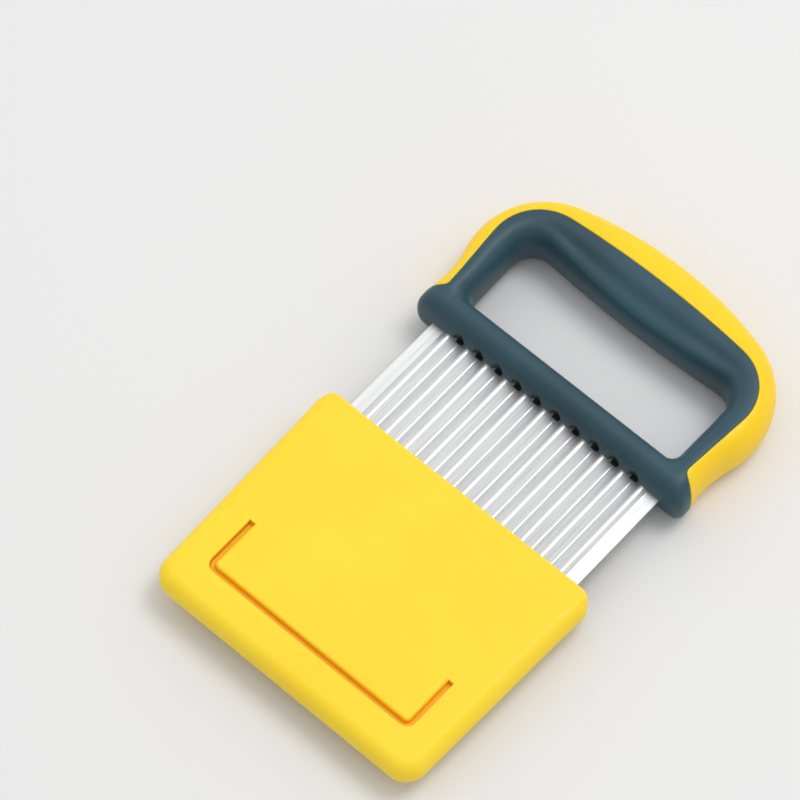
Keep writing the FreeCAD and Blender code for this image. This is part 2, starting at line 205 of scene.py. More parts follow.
def points_of(mesh: Mesh, origin: Vector) -> np.ndarray:
    """Read a mesh's points back in millimetres.

    Args:
        mesh: The mesh.
        origin: What they are measured from, in the frame, in metres.

    Returns:
        Rows of x, y and z.
    """
    co = np.empty(3 * len(mesh.vertices), dtype=np.float32)
    mesh.vertices.foreach_get("co", co)
    return ((co.reshape(-1, 3) - np.array(origin)) / MM).T


def mark_painted_shade(mesh: Mesh, share: np.ndarray) -> None:
    """Write the attribute by which a finish mixes painted shade into its hollows and slot."""
    values = mesh.attributes.new(PAINTED_SHADE_ATTRIBUTE, "FLOAT", "POINT").data
    values.foreach_set("value", share.astype(np.float32))


def add_object(name: str, data: ID) -> Object:
    """Add an object to the scene.

    Args:
        name: Its name.
        data: Its mesh, light or camera.

    Returns:
        The object.
    """
    made = bpy.data.objects.new(name, data)
    bpy.context.scene.collection.objects.link(made)
    return made


def joined(base: Mesh, tool: Mesh, join: Join) -> Mesh:
    """Join two closed meshes into one.

    Args:
        base: The mesh to change.
        tool: The mesh that is added or cut away.
        join: Which of the two it is.

    Returns:
        A new mesh, welded.
    """
    pair = [add_object(mesh.name, mesh) for mesh in (base, tool)]
    modifier = pair[0].modifiers.new("join", "BOOLEAN")
    modifier.object = pair[1]
    modifier.operation = join.value
    modifier.solver = "EXACT"
    graph = bpy.context.evaluated_depsgraph_get()
    result = bpy.data.meshes.new_from_object(pair[0].evaluated_get(graph))
    for each in pair:
        bpy.data.objects.remove(each)
    clean(result)
    return result


def make_piece(mesh: Mesh, name: str, body: str, cast: Cast, finish: Material,
               *nodes: str) -> Object:
    """Make the object that stands for some CAD nodes.

    Args:
        mesh: Its mesh, in the frame.
        name: The piece's name.
        body: The CAD body that it rides on.
        cast: What it is made of; not used.
        finish: Its material.
        nodes: The CAD nodes that it stands for.

    Returns:
        The object.
    """
    mesh.name = name
    mesh.materials.clear()
    mesh.materials.append(finish)
    made = add_object(name, mesh)
    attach(made, body)
    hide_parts(*nodes)
    LOG.info("%s: %d faces", name, len(mesh.polygons))
    return made


def new_group(name: str, inputs: dict[str, float],
              outputs: dict[str, str]) -> tuple[NodeTree, Node, Node]:
    """Start a shader node group.

    Args:
        name: The group's name.
        inputs: Each number that it takes, with its default.
        outputs: Each output, with its kind of socket.

    Returns:
        The group, its input node and its output node.
    """
    group = bpy.data.node_groups.new(name, "ShaderNodeTree")
    for label, default in inputs.items():
        socket = group.interface.new_socket(name=label, in_out="INPUT",
                                            socket_type="NodeSocketFloat")
        socket.default_value = default
    for label, kind in outputs.items():
        group.interface.new_socket(name=label, in_out="OUTPUT", socket_type=f"NodeSocket{kind}")
    return group, group.nodes.new("NodeGroupInput"), group.nodes.new("NodeGroupOutput")


def feed(tree: NodeTree, node: Node, values: dict[str | int, Value]) -> None:
    """Link sockets to a node's inputs, and set there what is a plain value.

    Args:
        tree: The node tree.
        node: The node that takes the values.
        values: What each input takes, by the input's label or number.
    """
    for label, value in values.items():
        if isinstance(value, NodeSocket):
            tree.links.new(value, node.inputs[label])
        else:
            node.inputs[label].default_value = value


def add_node(tree: NodeTree, kind: str, values: dict[str | int, Value],
             **settings: str | NodeTree) -> Node:
    """Add a shader node.

    Args:
        tree: The node tree.
        kind: The last part of the name of the node's type.
        values: What each input takes, by the input's label or number.
        settings: The node's other settings.

    Returns:
        The node.
    """
    node = tree.nodes.new(f"ShaderNode{kind}")
    for label, setting in settings.items():
        setattr(node, label, setting)
    feed(tree, node, values)
    return node


def math_node(tree: NodeTree, operation: str, *values: float | NodeSocket) -> NodeSocket:
    """Work out an operation on one value or two."""
    return add_node(tree, "Math", dict(enumerate(values)), operation=operation).outputs[0]


def noise_node(tree: NodeTree, place: NodeSocket, scale: float | NodeSocket,
               detail: float) -> NodeSocket:
    """Lay a noise on coordinates."""
    inputs = {"Vector": place, "Scale": scale, "Detail": detail}
    return add_node(tree, "TexNoise", inputs).outputs[0]


def bump_node(tree: NodeTree, height: NodeSocket, distance: float,
              strength: float | NodeSocket) -> NodeSocket:
    """Make a normal from a height, whose 1 is a distance in metres."""
    inputs = {"Height": height, "Distance": distance, "Strength": strength}
    return add_node(tree, "Bump", inputs).outputs[0]


def map_range(tree: NodeTree, value: NodeSocket, source: Pair, target: Pair) -> NodeSocket:
    """Spread one range over another."""
    ends = dict(zip(("From Min", "From Max", "To Min", "To Max"), (*source, *target)))
    return add_node(tree, "MapRange", {"Value": value, **ends}).outputs[0]


def blended(tree: NodeTree, factor: NodeSocket, first: Colour | NodeSocket,
            second: Colour) -> NodeSocket:
    """Mix two colours by the second's share, kept between 0 and 1."""
    inputs = {"A": first, "B": second, "Factor": factor}
    return add_node(tree, "Mix", inputs, data_type="RGBA").outputs["Result"]


def moulded_skin_group() -> NodeTree:
    """Make the group for a moulded skin: fine grain, slow waviness and patchy gloss.

    Bump is grain x noise at the grain's scale + ripple x noise 40 times coarser. Tone is a slow
    noise from 0 to 1 for colour, and Fleck is the fine one for gloss.

    Returns:
        The group.
    """
    group, start, end = new_group(
        "moulded_skin", {"Grain Scale": 2600.0, "Grain": 0.1, "Ripple": 0.1},
        {"Normal": "Vector", "Tone": "Float", "Fleck": "Float"})
    place = group.nodes.new("ShaderNodeTexCoord").outputs["Object"]
    grain = noise_node(group, place, start.outputs["Grain Scale"], 3.0)
    coarse = math_node(group, "DIVIDE", start.outputs["Grain Scale"], RIPPLE_RATIO)
    ripple = noise_node(group, place, coarse, 2.0)
    height = math_node(group, "ADD", math_node(group, "MULTIPLY", grain, start.outputs["Grain"]),
                       math_node(group, "MULTIPLY", ripple, start.outputs["Ripple"]))
    feed(group, end, {"Normal": bump_node(group, height, GRAIN_HEIGHT, 1.0),
                      "Tone": noise_node(group, place, TONE_SCALE, 3.0), "Fleck": grain})
    return group


def brushed_lines_group() -> NodeTree:
    """Make the group for brushing along Y: noise that is stretched along Y, at two widths.

    Returns:
        The group.
    """
    group, start, end = new_group("brushed_lines", {"Depth": 0.1},
                                  {"Normal": "Vector", "Line": "Float"})
    place = group.nodes.new("ShaderNodeTexCoord").outputs["Object"]
    layers = []
    for scale, share in LINE_LAYERS:
        stretch = add_node(group, "Mapping", {"Vector": place, "Scale": scale})
        noise = noise_node(group, stretch.outputs[0], 1.0, 2.0)
        layers.append(math_node(group, "MULTIPLY", noise, share))
    line = math_node(group, "ADD", *layers)
    normal = bump_node(group, line, LINE_HEIGHT, start.outputs["Depth"])
    feed(group, end, {"Normal": normal, "Line": line})
    return group


def new_material(name: str) -> tuple[Material, Node]:
    """Make a node material.

    Args:
        name: Its name.

    Returns:
        The material and its Principled shader.
    """
    material = bpy.data.materials.new(name)
    material.use_nodes = True
    return material, material.node_tree.nodes["Principled BSDF"]


@dataclass(frozen=True)
class MouldedFinish:
    """A moulded skin, hard or soft: two close tones, grain, gloss, a little depth and, where marked,
    painted shade.
    """

    name: str
    light: Colour
    deep: Colour
    gloss: Pair
    grain_scale: float
    grain: float
    ripple: float
    depth: float = 0.0
    depth_radius: Triple = (1.0, 0.5, 0.1)
    sheen: float = 0.0
    sheen_roughness: float = 0.5
    specular: float = 0.5
    # Painted shade: the colour mixed in where the attribute marks hollows and the slot.
    painted_shade_tone: Colour | None = None

    def material(self, skin: NodeTree) -> Material:
        """Make the material.

        Args:
            skin: The moulded skin group.

        Returns:
            The material.
        """
        made, shader = new_material(self.name)
        tree = made.node_tree
        group = add_node(tree, "Group", {"Grain Scale": self.grain_scale, "Grain": self.grain,
                                         "Ripple": self.ripple}, node_tree=skin)
        tone = map_range(tree, group.outputs["Tone"], NOISE_SPAN, (0.0, 1.0))
        colour = blended(tree, tone, self.light, self.deep)
        # Painted shade: the marked places are mixed toward the shade tone.
        if self.painted_shade_tone is not None:
            painted_shade_mask = add_node(tree, "Attribute", {}, attribute_name=PAINTED_SHADE_ATTRIBUTE)
            colour = blended(tree, painted_shade_mask.outputs["Fac"], colour, self.painted_shade_tone)
        rough = map_range(tree, group.outputs["Fleck"], NOISE_SPAN, self.gloss)
        feed(tree, shader, {
            "Base Color": colour, "Roughness": rough, "Normal": group.outputs["Normal"],
            "Specular IOR Level": self.specular, "Subsurface Weight": self.depth,
            "Subsurface Radius": self.depth_radius, "Subsurface Scale": MM,
            "Sheen Weight": self.sheen, "Sheen Roughness": self.sheen_roughness})
        return made


@dataclass(frozen=True)
class BrushedFinish:
    """Stainless steel brushed along the blade."""

    name: str
    light: Colour
    deep: Colour
    gloss: Pair
    line_depth: float

    def material(self, lines: NodeTree) -> Material:
        """Make the material.

        Args:
            lines: The brushed lines group.

        Returns:
            The material.
        """
        made, shader = new_material(self.name)
        tree = made.node_tree
        group = add_node(tree, "Group", {"Depth": self.line_depth}, node_tree=lines)
        tone = map_range(tree, group.outputs["Line"], NOISE_SPAN, (0.0, 1.0))
        colour = blended(tree, tone, self.light, self.deep)
        rough = map_range(tree, group.outputs["Line"], NOISE_SPAN, self.gloss)
        feed(tree, shader, {"Base Color": colour, "Roughness": rough, "Metallic": 1.0,
                            "Normal": group.outputs["Normal"]})
        return made


# The guard's shade tone is painted shade and bounce light: deep orange down the slot's walls, for the
# dim light reflected between them.
GUARD_YELLOW = MouldedFinish(
    "guard_yellow", srgb(254, 218, 44), srgb(253, 213, 38), (0.40, 0.52), 3000.0, 0.05, 0.15,
    depth=0.35, depth_radius=(2.6, 1.3, 0.15), specular=0.4, painted_shade_tone=srgb(252, 182, 0))
SPINE_YELLOW = MouldedFinish(
    "spine_yellow", srgb(254, 208, 22), srgb(253, 203, 18), (0.36, 0.48), 3000.0, 0.05, 0.15,
    depth=0.5, depth_radius=(3.5, 1.6, 0.15), specular=0.35)
# The grip's shade tone is painted shade: near black in the bar's hollows, where little light reaches.
GRIP_TEAL = MouldedFinish(
    "grip_teal", srgb(38, 76, 89), srgb(31, 64, 76), (0.38, 0.50), 2400.0, 0.22, 0.3,
    sheen=0.04, specular=0.42, painted_shade_tone=srgb(14, 20, 26))
BLADE_STEEL = BrushedFinish("blade_steel", srgb(240, 240, 240), srgb(198, 199, 200),
                            (0.34, 0.46), 0.45)


@dataclass
class WavyBlade:
    """The blade: one sheet, bent into waves across and ground along its cutting edge."""

    finish: BrushedFinish
    width: float = 115.0
    free_length: float = 90.0
    tang_length: float = 9.5
    thickness: float = 1.0
    edge_thickness: float = 0.15
    ground_length: float = 2.4
    pitch: float = 9.84
    gaps: int = 10
    corner_height: float = 1.65
    bend_radius: float = 1.5
    bend_steps: int = 11
    crease: float = 0.03

    def middle_line(self) -> tuple[np.ndarray, np.ndarray]:
        """Work out the middle of the sheet's section, from the left edge to the right.

        A bend is an arc of one radius whose centre lies above or below the blade's plane, and each
        is followed by a straight flank that lies at the waves' slope.

        Returns:
            The points (x, z), and at each the direction that points out of the sheet's top.
        """
        slope = math.atan(4 * self.corner_height / self.pitch)
        depth = self.corner_height - self.bend_radius / math.cos(slope)
        run_out = (self.gaps * self.pitch / 2 + self.corner_height / math.tan(slope)
                   + self.bend_radius * math.tan(slope / 2))
        step = np.arange(2 * self.gaps + 1)
        crest = np.where(step % 2 == 0, 1.0, -1.0)
        x = np.concatenate([[-run_out], (step - self.gaps) * self.pitch / 2, [run_out]])
        z = np.concatenate([[self.bend_radius], crest * depth, [self.bend_radius]])
        up = np.concatenate([[-1.0], crest, [-1.0]])
        start = np.full(len(x), -slope)
        end = np.full(len(x), slope)
        start[0], end[-1] = 0.0, 0.0
        share = np.linspace(0.0, 1.0, self.bend_steps)
        angle = start[:, None] + (end - start)[:, None] * share
        up = up[:, None] * np.ones_like(angle)
        bend_x = x[:, None] + self.bend_radius * np.sin(angle)
        bend_z = z[:, None] + up * self.bend_radius * np.cos(angle)
        line = np.stack([bend_x.ravel(), bend_z.ravel()], axis=-1)
        out = np.stack([(up * np.sin(angle)).ravel(), np.cos(angle).ravel()], axis=-1)
        rims = np.array([[-self.width / 2, 0.0], [self.width / 2, 0.0]])
        level = np.array([[0.0, 1.0]])
        return (np.vstack([rims[:1], line, rims[1:]]), np.vstack([level, out, level]))

    def build(self, origin: Vector, lines: NodeTree) -> Object:
        """Carry the section from the tang to the cutting edge and close its ends.

        Args:
            origin: The bar line and blade plane in the frame, in metres.
            lines: The brushed lines group.

        Returns:
            The blade.
        """
        line, out = self.middle_line()
        ground = self.ground_length - self.free_length
        y = np.array([self.tang_length, 0.0, ground + self.crease, ground,
                      self.crease - self.free_length, -self.free_length])
        half = np.interp(y, [-self.free_length, ground], [self.edge_thickness, self.thickness]) / 2
        sides = [line[None] + side * half[:, None, None] * out[None] for side in (1, -1)]
        loop = np.concatenate([sides[0], sides[1][:, ::-1]], axis=1)
        points = np.stack([loop[..., 0], np.broadcast_to(y[:, None], loop.shape[:2]), loop[..., 1]],
                          axis=-1)
        shell = Shell()
        shell.tube(points.transpose(1, 0, 2))
        return make_piece(shell.mesh("wavy_blade", origin), "wavy_blade", "cutter", Cast.BLADE,
                          self.finish.material(lines), "blade")


@dataclass
class BladeGuard:
    """The guard: a flat sheath with rounded sides, a U slot in its face and ribs inside."""

    finish: MouldedFinish
    blade: WavyBlade
    exposure: float = 49.5
    half_thickness: float = 6.5
    mouth_half: float = 67.9
    side_taper: float = 2.4
    length: float = 103.5
    edge_radius: float = 5.8
    mouth_edge: float = 0.7
    end_radius: float = 9.5
    mouth_radius: float = 6.4
    wall: float = 1.9
    side_wall: float = 3.0
    slot_half_width: float = 1.15
    slot_slit: float = 0.25
    slot_side_room: float = 7.2
    slot_end_room: float = 17.1
    slot_arm: float = 24.4
    slot_corner: float = 3.3
    slot_depth: float = 2.5
    slot_edge: float = 0.3
    tongue_edge: float = 1.5
    gutter_wall: float = 0.7
    # How deep down the slot the painted shade reaches its full tone, and how far past the slot it is
    # still marked.
    shade_fade_depth: float = 0.9
    shade_margin: float = 0.05
    bead_half: float = 24.0
    bead_inset: float = 4.0
    bead_radius: float = 1.4
    clearance: float = 0.3
    rib_half: float = 0.8
    rib_inset: float = 2.5
    rib_start: float = 1.5
    rib_end_gap: float = 3.0
    mouth_facing: float = 0.3
    mouth_corner_share: float = 0.75
    mouth_ease: Pair = (3.2, 2.4)
    arc_steps: int = 10
    run_steps: int = 24
    edge_steps: int = 8

    def plan(self, inset: float, mouth: float,
             radii: Pair) -> list[tuple[np.ndarray, np.ndarray]]:
        """Work out the guard's plan: four straight sides joined by arcs.

        Args:
            inset: How far the sides and the closed end lie in from the outside.
            mouth: Where the mouth's side lies along Y.
            radii: The radius at the mouth's corners and at the closed end's.

        Returns:
            The points of the four sides, each from the middle of one corner's arc to the next, and
            the directions that point out of them.
        """
        lean = math.atan(self.side_taper / self.length)
        lean_out = np.array([math.cos(lean), -math.sin(lean)])
        end = inset - self.length
        half = self.mouth_half - inset / math.cos(lean)
        faces = [(np.array([0.0, 1.0]), mouth), (lean_out, half * math.cos(lean)),
                 (np.array([0.0, -1.0]), -end), (lean_out * [-1, 1], half * math.cos(lean))]
        corner_radius = [radii[0], radii[1], radii[1], radii[0]]
        arcs = []
        for index, radius in enumerate(corner_radius):
            first, second = faces[index], faces[(index + 1) % 4]
            center = np.linalg.solve(np.array([first[0], second[0]]),
                                     np.array([first[1], second[1]]) - radius)
            start = math.atan2(first[0][1], first[0][0])
            sweep = (math.atan2(second[0][1], second[0][0]) - start) % (2 * math.pi) - 2 * math.pi
            angle = start + sweep * np.linspace(0.0, 1.0, 2 * self.arc_steps + 1)
            out = np.stack([np.cos(angle), np.sin(angle)], axis=-1)
            arcs.append((center + radius * out, out))
        sides = []
        for index in range(4):
            before, after = arcs[index - 1], arcs[index]
            share = np.linspace(0.0, 1.0, self.run_steps + 1)[1:-1, None]
            run = before[0][-1] + (after[0][0] - before[0][-1]) * share
            out = np.broadcast_to(before[1][-1], run.shape)
            sides.append((np.vstack([before[0][self.arc_steps:], run,
                                     after[0][:self.arc_steps + 1]]),
                          np.vstack([before[1][self.arc_steps:], out,
                                     after[1][:self.arc_steps + 1]])))
        return sides

    def slab(self, sides: list[tuple[np.ndarray, np.ndarray]], half: float, radius: float,
             mouth_edge: float) -> Shell:
        """Close a plan into a slab whose edges are round.

        A point of the edge lies r(1 - cos t) in from the plan and r(1 - sin t) down from the face,
        for t from 0 at the wall to a right angle at the face. The radius r is the edge's, and eases
        to the mouth's towards the mouth. Each face is filled between its four sides by a Coons
        patch.

        Args:
            sides: The plan's four sides.
            half: Half of the slab's thickness.
            radius: The radius of its edges.
            mouth_edge: Their radius along the mouth.

        Returns:
            The slab.
        """
        shell = Shell()
        turn = np.linspace(0.0, math.pi / 2, self.arc_steps + 1)[:, None]
        rims = {1: [], -1: []}
        for line, out in sides:
            near = smooth_step((out[:, 1] - self.mouth_facing) / (1 - self.mouth_facing))
            start, length = (self.mouth_radius * share for share in self.mouth_ease)
            run = smooth_step((line[:, 1] + start) / length)
            corner = min(radius, self.mouth_corner_share * self.mouth_radius)
            eased = radius + (corner - radius) * run
            r = np.where(mouth_edge < radius, eased + (mouth_edge - eased) * near, radius)
            for side in (1, -1):
                inset = r * (1 - np.cos(turn))
                flat = line[None] - inset[..., None] * out[None]
                z = side * (half - r * (1 - np.sin(turn)))
                strip = np.concatenate([flat, z[..., None]], axis=-1)
                shell.grid(strip)
                rims[side].append(strip[-1])
            wall = [np.concatenate([line, (side * (half - r))[:, None]], axis=-1)
                    for side in (1, -1)]
            shell.grid(np.stack(wall))
        for side in (1, -1):
            shell.grid(coons(*rims[side]))
        return shell

    def slot_path(self) -> tuple[np.ndarray, np.ndarray]:
        """Work out the right half of the U slot's middle line, from its tip to the middle.

        Returns:
            Its points, and at each the direction that points out of the U.
        """
        across = self.blade.width / 2 - self.slot_side_room
        base = self.slot_end_room - self.length
        turn = np.linspace(0.0, math.pi / 2, self.arc_steps + 1)
        bend = np.stack([across - self.slot_corner * (1 - np.cos(turn)),
                         base + self.slot_corner * (1 - np.sin(turn))], axis=-1)
        out = np.stack([np.cos(turn), -np.sin(turn)], axis=-1)
        return (np.vstack([[across, base + self.slot_arm], bend, [0.0, base]]),
                np.vstack([[1.0, 0.0], out, [0.0, -1.0]]))

    def along_slot(self, levels: list[tuple[float, float, float, float]]) -> Shell:
        """Carry a section round the U slot's path and close its two ends.

        Args:
            levels: The section from the bottom up: how far it reaches out of the path and into the
                tongue, and the height at each side.

        Returns:
            The closed channel.
        """
        path, out = self.slot_path()
        path = np.vstack([path, path[-2::-1] * [-1, 1]])
        out = np.vstack([out, out[-2::-1] * [-1, 1]])
        rows = []
        for outward, inward, outer_z, inner_z in levels:
            tips = path.copy()
            tips[[0, -1], 1] += outward - self.slot_half_width
            loop = np.vstack([tips + outward * out, (tips - inward * out)[::-1]])
            heights = np.repeat([outer_z, inner_z], len(path))
            rows.append(np.column_stack([loop, heights]))
        shell = Shell()
        shell.tube(np.stack(rows, axis=1))
        return shell

    def slot_cutter(self) -> Shell:
        """Make what the slot takes away: a slit that frees the tongue, and the channel over it.

        Each of the channel's edges is a quarter circle: r(1 - cos t) wider and r(1 - sin t) down
        at t.

        Returns:
            The cutter.
        """
        half, top, floor = self.slot_half_width, self.half_thickness, self.slot_depth
        levels = [(half, self.slot_slit - half, top - 2 * floor, top - 2 * floor),
                  (half, self.slot_slit - half, top - floor, top - floor),
                  (half, half, top - floor, top - floor)]
        levels += [(half + self.slot_edge * (1 - math.cos(t)),
                    half + self.tongue_edge * (1 - math.cos(t)),
                    top - self.slot_edge * (1 - math.sin(t)),
                    top - self.tongue_edge * (1 - math.sin(t)))
                   for t in np.linspace(0.0, math.pi / 2, self.edge_steps)]
        levels.append((half + self.slot_edge, half + self.tongue_edge, top + floor, top + floor))
        return self.along_slot(levels)

    def slot_floor(self) -> Shell:
        """Make the gutter under the face that carries the slot's floor.

        Returns:
            The gutter, as a solid bar that the slot is then cut into.
        """
        reach = self.slot_half_width + self.gutter_wall
        low = self.half_thickness - self.slot_depth - self.gutter_wall
        high = self.half_thickness - self.wall / 2
        return self.along_slot([(reach, reach, low, low), (reach, reach, high, high)])

    def mark_slot_shade(self, mesh: Mesh, place: Vector) -> None:
        """Write the painted shade attribute, which goes from 0 at the face to 1 down the slot's
        walls.

        Args:
            mesh: The guard's mesh.
            place: The middle of its mouth in the frame, in metres.
        """
        x, y, z = points_of(mesh, place)
        reach = self.slot_half_width + self.tongue_edge + self.shade_margin
        near = distance_to(np.stack([x, y], axis=-1), self.slot_path()[0], 2 * reach) < reach
        down = self.half_thickness - z
        near &= down < self.slot_depth + self.gutter_wall + self.shade_margin
        # Painted shade and bounce light: the slot's walls ramp toward the deep orange tone.
        mark_painted_shade(mesh, smooth_step(down / self.shade_fade_depth) * near)

    def ribs(self) -> list[Shell]:
        """Make the ribs that guide the blade's flat edges, and the stops outside them.

        Returns:
            The ribs and stops, a box each.
        """
        far = self.side_wall + self.rib_end_gap - self.length
        inside = self.half_thickness - self.wall / 2
        clear = self.blade.thickness / 2 + self.clearance
        stop = self.blade.width / 2 + self.clearance
        rail = self.blade.width / 2 - self.rib_inset
        shells = []
        for side in (1, -1):
            spans = [((stop, stop + 2 * self.rib_half), (-inside, inside))]
            spans += [((rail - self.rib_half, rail + self.rib_half), heights)
                      for heights in ((clear, inside), (-inside, -clear))]
            for across, heights in spans:
                shells.append(box_shell((side * across[0], side * across[1]),
                                        (far, -self.rib_start), heights))
        return shells

    def bead(self) -> Shell:
        """Make the bead under the tongue: a half round carried across.

        Returns:
            The bead.
        """
        at = (self.slot_end_room + self.slot_half_width + self.bead_inset) - self.length
        inside = self.half_thickness - self.wall / 2
        tip = self.blade.corner_height + self.clearance
        turn = np.linspace(0.0, math.pi, 2 * self.arc_steps + 1)
        y = np.concatenate([[at + self.bead_radius], at + self.bead_radius * np.cos(turn),
                            [at - self.bead_radius]])
        z = np.concatenate([[inside], tip + self.bead_radius * (1 - np.sin(turn)), [inside]])
        ends = [np.column_stack([np.full(len(y), x), y, z])
                for x in (-self.bead_half, self.bead_half)]
        shell = Shell()
        shell.tube(np.stack(ends, axis=1))
        return shell

    def build(self, origin: Vector, skin: NodeTree) -> Object:
        """Hollow the slab, cut its slot into a gutter and add the ribs and the bead.

        Args:
            origin: The bar line and blade plane in the frame, in metres.
            skin: The moulded skin group.

        Returns:
            The guard.
        """
        place = origin + Vector((0.0, -self.exposure * MM, 0.0))
        outside = self.slab(self.plan(0.0, 0.0, (self.mouth_radius, self.end_radius)),
                            self.half_thickness, self.edge_radius, self.mouth_edge)
        reach = 2 * self.edge_radius
        inside_radius = self.edge_radius - self.side_wall
        pocket = self.slab(self.plan(self.side_wall, reach,
                                     (self.mouth_radius, self.end_radius - self.side_wall)),
                           self.half_thickness - self.wall, inside_radius, inside_radius)
        mesh = joined(outside.mesh("guard_outside", place), pocket.mesh("guard_pocket", place),
                      Join.CUT)
        mesh = joined(mesh, self.slot_floor().mesh("guard_gutter", place), Join.ADD)
        mesh = joined(mesh, self.slot_cutter().mesh("guard_slot", place), Join.CUT)
        for shell in [*self.ribs(), self.bead()]:
            mesh = joined(mesh, shell.mesh("guard_rib", place), Join.ADD)
        self.mark_slot_shade(mesh, place)
        return make_piece(mesh, "slotted_guard", "guard", Cast.GUARD, self.finish.material(skin),
                          "blade_guard")


@dataclass
class LoopHandle:
    """The two-shot loop handle: a soft grip round the finger opening and a hard outer spine.

    Its surface is a ring of sections. A section stands upright on a chord from the finger
    opening's outline to the handle's, and follows |x|^n + |z|^n = 1 between them. Along a section,
    reach runs from -1 at the opening to 1 at the outside. The spine is what lies outside the
    parting line, and the grip is the rest.
    """

    spine_finish: MouldedFinish
    grip_finish: MouldedFinish
    blade: WavyBlade
    height: float = 81.6
    half_thickness: float = 12.5
    fullness: float = 2.35
    end_half: float = 67.5
    end_radius: float = 6.0
    end_rise: float = 5.5
    corner_radius: float = 3.6
    leg_half: float = 70.1
    waist_radius: float = 48.0
    arch_rise: float = 40.0
    crown_radius: float = 161.0
    bar_depth: float = 14.0
    grip_depth: float = 32.0
    leg_width: float = 17.7
    swell_radius: float = 490.0
    lower_radius: float = 4.5
    upper_radius: float = 9.0
    spine_depth: float = 14.0
    spine_width: float = 7.3
    spine_rise: float = 23.3
    spine_crown: float = 450.0
    foot_width: float = 9.5
    foot_rise: float = -0.6
    foot_radius: float = 3.5
    tip_fall: float = 0.59
    seam_radius: float = 0.4
    ridge_reach: float = -0.86
    ridge_bow: float = 0.28
    ridge_rise: float = 0.5
    ridge_spread: float = 0.12
    hollow_gap: float = 0.30
    hollow_depth: float = 1.3
    hollow_spread: float = 0.21
    palm_fade: float = 0.7
    scallop_radius: float = 3.1
    scallop_depth: float = 1.8
    scallop_height: float = 7.2
    scallop_ease: float = 0.3
    scallop_rim: float = 0.3
    mark_reach: float = 1.2
    palm_reach: float = 1.1
    palm_edge: float = 0.45
    corner_lead: float = math.radians(20)
    past_seam: float = math.radians(112)
    bar_anchors: Pair = (0.8, 0.85)
    outer_anchors: Pair = (24.0, 36.0)
    inner_anchors: Pair = (24.5, 35.0)
    crown_anchor: Pair = (0.55, 0.97)
    fine_steps: int = 4000
    wall_steps: int = 4
    smoothing: int = 6
    bar_share: float = 0.34
    bar_rows: int = 225
    corner_rows: int = 24
    spine_rows: int = 225
    spine_pace: float = 1.6
    grip_turns: tuple[float, ...] = (0.0, 0.01, 0.022, 0.038, 0.058, 0.085)
    grip_spread: tuple[float, float, int] = (0.125, 1.0, 18)
    under_steps: int = 25
    spine_turns: tuple[float, ...] = (0.0, 0.012, 0.026, 0.044, 0.07)
    spine_spread: tuple[float, float, int] = (0.11, 1.0, 26)

    def outline(self) -> tuple[np.ndarray, np.ndarray]:
        """Work out the right half of the outside, from the bar's middle to the crown.

        The bar's end is straight between a round front corner and a larger arc above it. That arc,
        the hollow waist, the shoulder and the crown run into each other.

        Returns:
            The points of the outline, and how far along it its anchors lie.
        """
        front = np.array([self.end_half - self.corner_radius, self.corner_radius])
        end = np.array([self.end_half - self.end_radius, self.end_rise])
        shoulder, radius = shoulder_arc(self.leg_half, self.height, self.arch_rise,
                                        self.crown_radius)
        waist = meeting(end, self.end_radius + self.waist_radius, shoulder,
                        radius + self.waist_radius)
        crown = np.array([0.0, self.height - self.crown_radius])
        stops = [np.array([self.end_half, self.end_rise]), toward(end, waist, self.end_radius),
                 toward(shoulder, waist, radius), toward(crown, shoulder, self.crown_radius),
                 np.array([0.0, self.height])]
        runs = [np.array([[0.0, 0.0]]), arc(front, np.array([front[0], 0.0]),
                                            np.array([self.end_half, front[1]]))]
        runs += [arc(center, *pair) for center, pair in
                 zip((end, waist, shoulder, crown), zip(stops[:-1], stops[1:]))]
        line = np.vstack(runs)
        corner = front + self.corner_radius * np.array([1.0, -1.0]) / math.sqrt(2)
        diagonal = shoulder + radius * np.array([1.0, 1.0]) / math.sqrt(2)
        low, high = self.outer_anchors
        marks = [(self.bar_anchors[0] * front[0], 0.0), corner, (self.end_half, low),
                 (self.leg_half, high), diagonal,
                 (self.crown_anchor[0] * self.leg_half, self.crown_anchor[1] * self.height)]
        return line, anchors_on(line, marks)

    def opening(self) -> tuple[np.ndarray, np.ndarray]:
        """Work out the right half of the finger opening, from the bar's side to the grip's.

        Returns:
            The points of the outline, and how far along it its anchors lie.
        """
        half = self.opening_half()
        center = np.array([0.0, self.height - self.grip_depth + self.swell_radius])
        lower = np.array([half - self.lower_radius, self.bar_depth + self.lower_radius])
        across = half - self.upper_radius
        reach = self.swell_radius + self.upper_radius
        upper = np.array([across, center[1] - math.sqrt(reach ** 2 - across ** 2)])
        touch = toward(center, upper, self.swell_radius)
        line = np.vstack([
            [[0.0, self.bar_depth]],
            arc(lower, np.array([lower[0], self.bar_depth]), np.array([half, lower[1]])),
            arc(upper, np.array([half, upper[1]]), touch),
            arc(center, touch, np.array([0.0, center[1] - self.swell_radius]))])
        slant = np.array([1.0, 1.0]) / math.sqrt(2)
        early = np.array([math.sin(self.corner_lead), -math.cos(self.corner_lead)])
        low, high = self.inner_anchors
        marks = [(self.bar_anchors[1] * lower[0], self.bar_depth),
                 lower + self.lower_radius * early, (half, low), (half, high),
                 upper + self.upper_radius * slant,
                 (self.crown_anchor[0] * half, self.height - self.grip_depth)]
        return line, anchors_on(line, marks)

